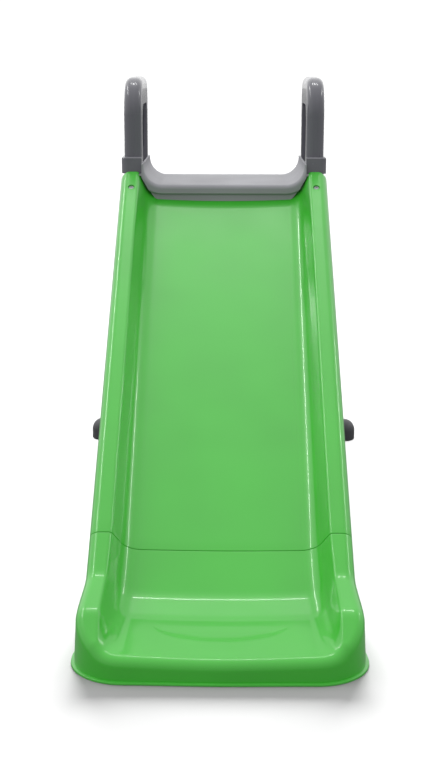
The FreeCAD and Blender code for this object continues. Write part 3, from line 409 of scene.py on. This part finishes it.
def chute_shell(shape):
    """The open-bottomed section, with rounded ends and rounded outer corners at the top of the rails."""
    end_steps = 6
    corner_steps = 10
    middle_steps = 40
    plain = 0.02
    near = []
    for n in range(end_steps + 1):
        turn = math.pi / 2 * n / end_steps
        near.append((END_ROUND * (1 - math.cos(turn)), END_ROUND * (1 - math.sin(turn))))
    far = [(CHUTE_RUN - along, drop) for along, drop in reversed(near)]
    middle = [plain + (CHUTE_RUN - 2 * plain) * n / middle_steps for n in range(middle_steps + 1)]
    corner_turns = [math.pi / 2 * n / corner_steps for n in range(corner_steps)]
    rounding = [CHUTE_RUN - RAIL_CORNER * (1 - math.sin(turn)) for turn in corner_turns]
    rounding = [along for along in rounding if along < CHUTE_RUN - END_ROUND * 1.3]
    rings = near + [(along, 0.0) for along in sorted(middle + rounding)] + far
    outer_rows = []
    inner_rows = []
    for along, drop in rings:
        past = max(along - (CHUTE_RUN - RAIL_CORNER), 0.0)
        tuck = RAIL_CORNER - math.sqrt(max(RAIL_CORNER ** 2 - past ** 2, 0.0))
        outer_rows.append(skin_row(shape, along, drop, tuck))
        inner_rows.append(skin_row(shape, along, WALL, tuck))
    for rows in (outer_rows, inner_rows):
        for first, second in zip(rows, rows[1:]):
            quads_between(shape, first, second, False)
    for end in (0, -1):
        quads_between(shape, outer_rows[end], inner_rows[end], False)
    for foot in (0, -1):
        outer_line = [row[foot] for row in outer_rows]
        inner_line = [row[foot] for row in inner_rows]
        quads_between(shape, outer_line, inner_line, False)


def chute_ribs(shape):
    """The cross ribs below the bed."""
    half = WALL / 2
    arch = [place - normal * half for place, normal in FULL_SKIN if normal.y > 0.02]
    for n in range(RIB_COUNT):
        start = RIB_FIRST + RIB_PITCH * n
        rows = []
        for along in (start, start + RIB_THICK):
            rows.append([shape.verts.new((spot.x, along, spot.y)) for spot in arch])
            rows.append([shape.verts.new((spot.x, along, RIB_FOOT)) for spot in arch])
        front_top, front_low, back_top, back_low = rows
        quads_between(shape, front_top, front_low, False)
        quads_between(shape, back_top, back_low, False)
        quads_between(shape, front_top, back_top, False)
        quads_between(shape, front_low, back_low, False)
        for end in (0, -1):
            shape.faces.new((front_top[end], front_low[end], back_low[end], back_top[end]))


def upper_chute():
    """The long green chute."""
    shape = bmesh.new()
    chute_shell(shape)
    body = temporary(shape)
    for operation, profile in (("UNION", RAIL_BOSS), ("DIFFERENCE", RAIL_POCKET)):
        for side in (-1, 1):
            tool = bmesh.new()
            turned(tool, Vector((side * RAIL_SCREW_X, CHUTE_RUN - RAIL_SCREW_FROM_TOP, 0)), profile)
            bored(body, temporary(tool), operation)
    shape = bmesh.new()
    shape.from_mesh(body.data)
    bpy.data.objects.remove(body)
    chute_ribs(shape)
    for x in SEAM_SCREWS_X:
        turned(shape, Vector((x, SEAM_SCREW_ALONG, 0)), SEAM_BOSS, 28)
    bmesh.ops.remove_doubles(shape, verts=shape.verts, dist=1e-7)
    shape.transform(on_slope)
    new_piece("chute_upper_moulding", shape, GREEN, "chute_upper")


upper_chute()

# The run-out piece is drawn in millimetres: across, back from the lip, and up.
SEAM = 239.4
SEAM_Z = 102.8
SEAM_GAP = 1.0
STEEP = math.tan(SLOPE)
ROUND = 16.0
LEAN = math.tan(math.radians(3.0))
BACK = 247.2
CORNER = (131.0, 79.1, 72.0)
FLARE = (80.1, 175.0)
HALF_WIDTHS = (193.3, 203.0)
STRIP_END = 180.0
MM = 1000
FOOT_HALF = (BED_HALF * MM, 130.0)
INNER_HALF = (RAIL_INNER * MM, 171.0)
LANDING_FRONT = 40.0
SAG = BED_SAG * MM
BED_LINE = ((171.4, 128.4), (19.1, 5.0), (9.0, 8.0))
RAIL_LINE = ((150.8, 72.0), (14.9, 36.0), (9.0, 9.0))
CROWN_FADE = 4.0
LIP_STATION = 4.6
LIP_BOW = 2.5
SKIRT = (RAIL_RISE - RAIL_ROUND) * MM
SKIRT_FALL = 44.3
BACK_TOP = 90.5
DISH_DEPTH = 1.9
DISH_HALF = 93.0
DISH_STATIONS = (62.0, 104.0)
DISH_EDGE = 15.0
to_metres = Matrix.Translation((0, cad_box[0][1], 0)) @ Matrix.Scale(0.001, 4)


def hinge(distance, blend):
    """Zero before a bend and the distance past it after, rounded over the blend each side."""
    if distance <= -blend:
        return 0.0
    if distance >= blend:
        return distance
    return (distance + blend) ** 2 / (4 * blend)


def descent(station, level, line):
    """A height that comes down from the seam in three slopes; the line is its bends, slopes and blends."""
    bends, slopes, blends = line
    middle, low = (math.tan(math.radians(slope)) for slope in slopes)
    height = level - STEEP * (SEAM - bends[0]) - middle * (bends[0] - bends[1]) + low * (station - bends[1])
    height += (middle - low) * hinge(station - bends[1], blends[1])
    return height + (STEEP - middle) * hinge(station - bends[0], blends[0])


def clamped(part):
    """The same S curve, level outside 0 to 1."""
    return smooth(min(max(part, 0.0), 1.0))


def dish_depth(x, station):
    """The shallow hollow in the landing, straight behind and curved in front."""
    front, back = DISH_STATIONS
    across = 1 - (x / DISH_HALF) ** 2
    if across <= 0:
        return 0.0
    near = back - (back - front) * math.sqrt(across)
    return DISH_DEPTH * clamped(min(station - near, back - station) / DISH_EDGE)


def run_out_top(x, station):
    """The run-out's top surface, before its outer edge is rounded."""
    x = abs(x)
    forward = clamped((SEAM - station) / (SEAM - LANDING_FRONT))
    foot = FOOT_HALF[0] + (FOOT_HALF[1] - FOOT_HALF[0]) * forward
    inner = INNER_HALF[0] + (INNER_HALF[1] - INNER_HALF[0]) * forward
    bed = descent(station, SEAM_Z, BED_LINE)
    bed += SAG * min(x / foot, 1.0) ** 2 / math.cos(SLOPE)
    rail = descent(station, SEAM_Z + RAIL_RISE * MM / math.cos(SLOPE), RAIL_LINE)
    part = min(max((x - foot) / (inner - foot), 0.0), 1.0)
    bed += 2 * SAG / foot / math.cos(SLOPE) * (inner - foot) * ease(part)
    return bed + hinge(rail - bed, CROWN_FADE) * wall_share(part)[0] - dish_depth(x, station)


def up_slope(x, along, rise):
    """A place in the sloping bed's own directions, in the run-out's."""
    return (x, SEAM + along * math.cos(SLOPE) - rise * math.sin(SLOPE),
            SEAM_Z + along * math.sin(SLOPE) + rise * math.cos(SLOPE))


def seam_station(height, low=150.0, high=270.0):
    """Where a surface, given as height at a station, meets the seam's plane."""
    for _ in range(40):
        middle = (low + high) / 2
        along = (middle - SEAM) * math.cos(SLOPE) + (height(middle) - SEAM_Z) * math.sin(SLOPE)
        if along < -SEAM_GAP:
            low = middle
        else:
            high = middle
    return low


LIP_STEPS = 45
CORNER_STEPS = 40
FLARE_STEPS = 33


def right_outline():
    """The base outline's right half from the lip's middle back: place, way out and share of the lean."""
    outline = []
    centre_x, centre_y, radius = CORNER
    for n in range(LIP_STEPS):
        part = n / LIP_STEPS
        tilt = LIP_BOW * 6 * part * (1 - part) / centre_x
        outline.append((centre_x * part, LIP_STATION + LIP_BOW * smooth(part), tilt, -1.0, 1.0))
    for n in range(CORNER_STEPS):
        turn = math.pi / 2 * n / CORNER_STEPS
        side, front = math.sin(turn), -math.cos(turn)
        outline.append((centre_x + radius * side, centre_y + radius * front, side, front, 1.0))
    for n in range(FLARE_STEPS + 1):
        part = 1 - n / FLARE_STEPS
        station = FLARE[1] - (FLARE[1] - FLARE[0]) * part
        widen = HALF_WIDTHS[1] - HALF_WIDTHS[0]
        tilt = widen * 6 * part * (1 - part) / (FLARE[1] - FLARE[0])
        outline.append((HALF_WIDTHS[0] + widen * smooth(part), station, 1.0, tilt, smooth(part)))
    outline.append((HALF_WIDTHS[0], STRIP_END, 1.0, 0.0, 0.0))
    return outline


ARC_STEPS = 14
WALL_STEPS = 8


def edge_column(x, station, across, along, share):
    """Points from the top surface's edge, over the round and down the leaning wall to the floor."""
    length = math.hypot(across, along)
    across /= length
    along /= length
    lean = 0.0
    step = 0.5
    for _ in range(4):
        wall = (x - across * lean, station - along * lean)
        inside = (wall[0] - across * ROUND, wall[1] - along * ROUND)

        def at(out, side):
            return run_out_top(inside[0] + across * out - along * side,
                               inside[1] + along * out + across * side)

        tall = math.sqrt(1 + ((at(0, step) - at(0, -step)) / (2 * step)) ** 2)
        tilt = math.atan((at(-step, 0) - at(step, 0)) / (2 * step) / tall)
        centre = at(ROUND * math.sin(tilt), 0) - ROUND * math.cos(tilt) * tall
        lean = share * centre * LEAN
    column = []
    for n in range(ARC_STEPS + 1):
        turn = tilt + (math.pi / 2 - tilt) * n / ARC_STEPS
        depth = ROUND * (1 - math.sin(turn))
        height = centre + ROUND * math.cos(turn) * tall
        column.append((wall[0] - across * depth, wall[1] - along * depth, height))
    for n in range(1, WALL_STEPS + 1):
        height = centre * (1 - n / WALL_STEPS)
        column.append((x - across * share * height * LEAN, station - along * share * height * LEAN, height))
    return column


def seam_columns():
    """The right side's columns from the strip's end back to the seam's plane and the back wall."""
    crown = HALF_WIDTHS[0] - ROUND
    tall = 1 / math.cos(SLOPE)
    ends = []
    for n in range(ARC_STEPS + 1):
        drop = ROUND * tall * (1 - math.cos(math.pi / 2 * n / ARC_STEPS))
        ends.append(seam_station(lambda place, drop=drop: run_out_top(crown, place) - drop))
    wall_ends = []
    for n in range(1, WALL_STEPS + 1):
        if n <= WALL_STEPS // 2:
            rise = SKIRT - SKIRT_FALL * n / (WALL_STEPS // 2)
            wall_ends.append(up_slope(0, -SEAM_GAP, rise)[1:])
        else:
            wall_ends.append((BACK, BACK_TOP * 2 * (1 - n / WALL_STEPS)))
    first = edge_column(HALF_WIDTHS[0], STRIP_END, 1.0, 0.0, 0.0)
    columns = []
    count = 16
    for row in range(1, count + 1):
        part = row / count
        column = []
        for n, end in enumerate(ends):
            turn = math.pi / 2 * n / ARC_STEPS
            station = STRIP_END + (end - STRIP_END) * part
            height = run_out_top(crown, station) - ROUND * tall * (1 - math.cos(turn))
            column.append((crown + ROUND * math.sin(turn), station, height))
        for place, end in zip(first[ARC_STEPS + 1:], wall_ends):
            station = place[1] + (end[0] - place[1]) * part
            column.append((HALF_WIDTHS[0], station, place[2] + (end[1] - place[2]) * part))
        columns.append(column)
    return columns


GRID_X = 1.25
GRID_COLUMNS = 142
GRID_STATION = 1.8
GRID_ENDS = (6.0, 240.0)
GRID_MARGIN = 1.1


def inner_points(ring):
    """Grid points well inside a closed ring of points."""
    ring = np.array(ring)
    level = 1e-9
    xs = np.arange(-GRID_COLUMNS, GRID_COLUMNS + 1) * GRID_X
    stations = np.arange(*GRID_ENDS, GRID_STATION)
    grid = np.stack(np.meshgrid(xs, stations), -1).reshape(-1, 2)
    inside = np.zeros(len(grid), dtype=bool)
    for start, end in zip(ring, np.roll(ring, -1, 0)):
        spans = (start[1] > grid[:, 1]) != (end[1] > grid[:, 1])
        rise = end[1] - start[1]
        if abs(rise) <= level:
            rise = level
        crossing = start[0] + (grid[:, 1] - start[1]) * (end[0] - start[0]) / rise
        inside ^= spans & (grid[:, 0] < crossing)
    grid = grid[inside]
    nearest = np.full(len(grid), 1e9)
    for place in ring:
        nearest = np.minimum(nearest, np.hypot(grid[:, 0] - place[0], grid[:, 1] - place[1]))
    return grid[nearest > GRID_MARGIN]


def run_out_skin():
    """The run-out's outer skin, open below and at the seam."""
    right = [edge_column(*place) for place in right_outline()] + seam_columns()
    left = [[(-x, station, height) for x, station, height in column] for column in reversed(right[1:])]
    columns = left + right
    crown = right[-1][0][0]
    rear = []
    count = 140
    for n in range(1, count):
        x = crown * (1 - 2 * n / count)
        station = seam_station(lambda place, x=x: run_out_top(x, place))
        rear.append((x, station, run_out_top(x, station)))
    ring = [column[0] for column in columns] + rear
    shape = bmesh.new()
    rows = [[shape.verts.new(place) for place in column] for column in columns]
    for first, second in zip(rows, rows[1:]):
        quads_between(shape, first, second, False)
    flat_ring = [(place[0], place[1]) for place in ring]
    filling = [tuple(place) for place in inner_points(flat_ring)]
    links = [(n, (n + 1) % len(ring)) for n in range(len(ring))]
    flat = [Vector(place) for place in flat_ring + filling]
    places, _, faces, origins, _, _ = delaunay_2d_cdt(flat, links, [], 1, 1e-6)
    corners = []
    for place, origin in zip(places, origins):
        known = [number for number in origin if number < len(ring)]
        height = ring[known[0]][2] if known else run_out_top(place.x, place.y)
        corners.append(shape.verts.new((place.x, place.y, height)))
    for face in faces:
        shape.faces.new([corners[number] for number in face])
    bmesh.ops.remove_doubles(shape, verts=shape.verts, dist=0.02)
    bmesh.ops.recalc_face_normals(shape, faces=shape.faces)
    on_bed = Vector((0, 200, 80))
    bed = min(shape.faces, key=lambda face: (face.calc_center_median() - on_bed).length)
    if bed.normal.z < 0:
        bmesh.ops.reverse_faces(shape, faces=shape.faces)
    return shape


def thickened(shape, thickness, bevel):
    """A mesh from an open skin, thickened inwards, its sharp edges rounded."""
    mesh = bpy.data.meshes.new("skin")
    shape.to_mesh(mesh)
    shape.free()
    body = bpy.data.objects.new("skin", mesh)
    scene.collection.objects.link(body)
    solid = body.modifiers.new("solid", "SOLIDIFY")
    solid.thickness = thickness
    solid.offset = -1
    solid.use_even_offset = True
    edges = body.modifiers.new("edges", "BEVEL")
    edges.width = bevel
    edges.segments = 3
    edges.limit_method = "ANGLE"
    edges.angle_limit = math.radians(55)
    graph = bpy.context.evaluated_depsgraph_get()
    result = bpy.data.meshes.new_from_object(body.evaluated_get(graph))
    bpy.data.objects.remove(body)
    bpy.data.meshes.remove(mesh)
    for corner in result.vertices:
        corner.co.z = max(corner.co.z, 0.0)
    return result


def swept(shape, loops):
    """A closed form through closed loops of points, with flat ends."""
    rows = [[shape.verts.new(place) for place in loop] for loop in loops]
    for first, second in zip(rows, rows[1:]):
        quads_between(shape, first, second, True)
    shape.faces.new(rows[0])
    shape.faces.new(rows[-1])


FLANGE = ((4.6, 0.0), (4.6, 2.0), (4.3, 2.7), (3.6, 3.0), (-1.6, 3.0), (-1.6, 0.0))


def base_flange(shape):
    """The thin flange round the foot of the run-out."""
    right = [place[:4] for place in right_outline()] + [(HALF_WIDTHS[0], BACK - 0.2, 1.0, 0.0)]
    left = [(-x, station, -across, along) for x, station, across, along in reversed(right[1:])]
    loops = []
    for x, station, across, along in left + right:
        length = math.hypot(across, along)
        loops.append([(x + across / length * out, station + along / length * out, height)
                      for out, height in FLANGE])
    swept(shape, loops)


def outer_height(x, station):
    """The run-out's outer skin with its edge rounded, near enough for the ribs under it."""
    centre_x, centre_y, radius = CORNER
    x = abs(x)
    if station >= centre_y:
        depth = HALF_WIDTHS[0] - x
    elif x < centre_x:
        depth = station - 6.0
    else:
        depth = radius - math.hypot(x - centre_x, station - centre_y)
    width = ROUND + 4.0
    fall = ROUND * 1.2
    reach = max(width - max(depth, 0.0), 0.0) / width
    return run_out_top(x, station) - fall * (1 - math.sqrt(max(1 - reach ** 2, 0.0)))


def plate(shape, line, thickness, low):
    """An upright rib under the skin along a level line, down to a height."""
    start, end = (Vector(place) for place in line)
    side = (end - start).normalized().orthogonal() * thickness / 2
    loops = []
    count = 60
    into_wall = 1.8
    shortest = 1.0
    for n in range(count + 1):
        middle = start.lerp(end, n / count)
        top = outer_height(middle.x, middle.y) - into_wall
        if top < low + shortest:
            continue
        loops.append([(middle.x + side.x * way, middle.y + side.y * way, height)
                      for way, height in ((-1, low), (1, low), (1, top), (-1, top))])
    swept(shape, loops)


CROSS_RIBS = (63.5, 151.5)
CROSS_RIB_HALF = 195.0
LONG_RIBS_X = (-72.0, 72.0)
LONG_RIB_FRONT = 9.0
PLATE_THICK = 3.0
PLATE_FOOT = 10.0
BACK_HALF = 191.6
SOCKET_X = 120.0
SOCKET_Z = 58.0
BRACE_LEAN = math.atan2(889.8, 70.0)
SOCKET = (
    (9.15, -3.0),
    (13.5, -3.0),
    (13.5, 23.2),
    (13.2, 23.8),
    (12.7, 24.0),
    (9.8, 24.0),
    (9.15, 23.4),
    (9.15, -3.0),
)


def run_out_inside(shape):
    """The ribs, back wall and brace sockets."""
    for station in CROSS_RIBS:
        line = ((-CROSS_RIB_HALF, station), (CROSS_RIB_HALF, station))
        plate(shape, line, PLATE_THICK, PLATE_FOOT)
    for x in LONG_RIBS_X:
        plate(shape, ((x, LONG_RIB_FRONT), (x, BACK - 2.0)), PLATE_THICK, PLATE_FOOT)
    front = BACK - 3.5
    back = BACK - 0.1
    loops = []
    for x in (-BACK_HALF, BACK_HALF):
        loops.append([(x, front, 0.0), (x, back, 0.0), (x, back, 90.8), (x, front, 88.5)])
    swept(shape, loops)
    for side in (-1, 1):
        ring = bmesh.new()
        turned(ring, Vector((0, 0, 0)), SOCKET, 48)
        ring.transform(Matrix.Rotation(-BRACE_LEAN, 4, "X"))
        ring.transform(Matrix.Translation((side * SOCKET_X, BACK, SOCKET_Z)))
        part = bpy.data.meshes.new("ring")
        ring.to_mesh(part)
        ring.free()
        shape.from_mesh(part)
        bpy.data.meshes.remove(part)


SHELF_SECTION = ((-112, -20), (112, -20), (112, -16.5), (-112, -16.5))
SHELF_ENDS = (-8.0, 48.0)
SHELF_HOLE = ((0, -24), (2.1, -24), (2.1, -12), (0, -12))


def seam_shelf():
    """The shelf under the upper chute's screw bosses, with its three screw holes, as a mesh."""
    shape = bmesh.new()
    swept(shape, [[up_slope(x, along, rise) for x, rise in SHELF_SECTION] for along in SHELF_ENDS])
    body = temporary(shape)
    for x in SEAM_SCREWS_X:
        tool = bmesh.new()
        turned(tool, Vector((0, 0, 0)), SHELF_HOLE, 24)
        place = up_slope(x * MM, SEAM_SCREW_ALONG * MM, 0)
        tool.transform(Matrix.Translation(place) @ Matrix.Rotation(SLOPE, 4, "X"))
        bored(body, temporary(tool), "DIFFERENCE")
    mesh = body.data
    bpy.data.objects.remove(body)
    return mesh


def run_out():
    """The low run-out piece."""
    edge_round = 1.2
    shape = bmesh.new()
    shape.from_mesh(thickened(run_out_skin(), WALL * MM, edge_round))
    base_flange(shape)
    run_out_inside(shape)
    shape.from_mesh(seam_shelf())
    bmesh.ops.remove_doubles(shape, verts=shape.verts, dist=1e-4)
    shape.transform(to_metres)
    new_piece("chute_lower_moulding", shape, GREEN, "chute_lower", 32)


run_out()

# ---------------------------------------------------------------- stage, lights, camera


def area_light(name, place, aim, along, size, power):
    """A rectangular lamp at a place, facing a point, its long side lying along a direction."""
    data = bpy.data.lights.new(name, "AREA")
    data.shape = "RECTANGLE"
    data.size, data.size_y = size
    data.energy = power
    lamp = bpy.data.objects.new(name, data)
    scene.collection.objects.link(lamp)
    back = (Vector(place) - Vector(aim)).normalized()
    long_side = Vector(along)
    long_side = (long_side - back * long_side.dot(back)).normalized()
    turn = Matrix((long_side, back.cross(long_side), back)).transposed()
    lamp.matrix_world = Matrix.Translation(place) @ turn.to_4x4()
    lamp.visible_camera = False


def flat_sheet(name, height, half, colour):
    """A square sheet of the stage, lying level."""
    mesh = bpy.data.meshes.new(name)
    shape = bmesh.new()
    bmesh.ops.create_grid(shape, x_segments=8, y_segments=8, size=half)
    shape.to_mesh(mesh)
    shape.free()
    sheet = bpy.data.objects.new(name, mesh)
    scene.collection.objects.link(sheet)
    sheet.location.z = height
    paper = Tree(name)
    paper.set(Base_Color=colour, Roughness=0.9, Specular_IOR_Level=0.0)
    mesh.materials.append(paper.material)
    return sheet


# The camera sees one floor, and the object is lit by a slightly lighter one just below it.
FLOOR_HALF = 30
floor = flat_sheet("floor", -0.0005, FLOOR_HALF, (0.30, 0.30, 0.30, 1))
floor.visible_diffuse = False
floor.visible_glossy = False
under = flat_sheet("floor_bounce", -0.001, FLOOR_HALF, (0.35, 0.35, 0.35, 1))
under.visible_camera = False


def studio_world():
    """Soft light from above and behind, weaker from in front, and a white backdrop."""
    world = bpy.data.worlds.new("studio")
    scene.world = world
    world.use_nodes = True
    tree = world.node_tree
    ambient = tree.nodes["Background"]
    backdrop = tree.nodes.new("ShaderNodeBackground")
    backdrop.inputs["Color"].default_value = (1, 1, 1, 1)
    backdrop.inputs["Strength"].default_value = 1.1
    direction = tree.nodes.new("ShaderNodeTexCoord")
    toward = tree.nodes.new("ShaderNodeVectorMath")
    toward.operation = "DOT_PRODUCT"
    toward.inputs[1].default_value = (-0.3, 0.5, 0.82)
    spread = tree.nodes.new("ShaderNodeMapRange")
    spread.inputs["From Min"].default_value = -0.4
    spread.inputs["From Max"].default_value = 0.8
    spread.inputs["To Min"].default_value = 0.6
    spread.inputs["To Max"].default_value = 1.36
    path = tree.nodes.new("ShaderNodeLightPath")
    choice = tree.nodes.new("ShaderNodeMixShader")
    tree.links.new(direction.outputs["Generated"], toward.inputs[0])
    tree.links.new(toward.outputs["Value"], spread.inputs["Value"])
    tree.links.new(spread.outputs["Result"], ambient.inputs["Strength"])
    ambient.inputs["Color"].default_value = (1, 1, 1, 1)
    tree.links.new(path.outputs["Is Camera Ray"], choice.inputs["Fac"])
    tree.links.new(ambient.outputs[0], choice.inputs[1])
    tree.links.new(backdrop.outputs[0], choice.inputs[2])
    tree.links.new(choice.outputs[0], tree.nodes["World Output"].inputs["Surface"])


studio_world()
scene.view_settings.view_transform = "Standard"

# Long tubes high up, one on each side and one behind, as in a hall: name, place, aim, the way the tube
# lies, its size and its power.
LAMPS = (
    ("lamp_left", (-3.2, 1.1, 4.2), (0, 0, 0.3), (0, 1, 0), (3.4, 0.10), 42),
    ("lamp_right", (4.6, 1.6, 4.0), (0, 0, 0.3), (0, 1, 0), (2.4, 0.10), 28),
    ("lamp_back", (0, 4.19, 11.09), (0, -0.4, 0), (1, 0, 0), (5.0, 0.20), 150),
)
for lamp in LAMPS:
    area_light(*lamp)

# A low, wide sun behind. It lights only the floor, and only the run-out shades the floor from it, which
# leaves a soft shadow in front.
sun = bpy.data.lights.new("floor_sun", "SUN")
sun.energy = 24.6
sun.angle = math.radians(36)
sun_lamp = bpy.data.objects.new("floor_sun", sun)
scene.collection.objects.link(sun_lamp)
sun_lamp.rotation_euler = (math.radians(-70), 0, 0)
floor_only = bpy.data.collections.new("floor_only")
floor_only.objects.link(floor)
sun_lamp.light_linking.receiver_collection = floor_only
low_part = bpy.data.collections.new("low_part")
low_part.objects.link(scene.objects["chute_lower_moulding"])
sun_lamp.light_linking.blocker_collection = low_part

camera_data = bpy.data.cameras.new("camera")
camera_data.lens = 63.93
camera_data.sensor_width = 36
camera_data.clip_start = 0.01
camera = bpy.data.objects.new("camera", camera_data)
scene.collection.objects.link(camera)
camera.location = (0.0094, -2.2953, 0.8258)
heading = Matrix.Rotation(math.radians(0.73), 4, "Z")
pitch = Matrix.Rotation(math.radians(76.30), 4, "X")
roll = Matrix.Rotation(math.radians(0.09), 4, "Z")
camera.rotation_euler = (heading @ pitch @ roll).to_euler()
scene.camera = camera
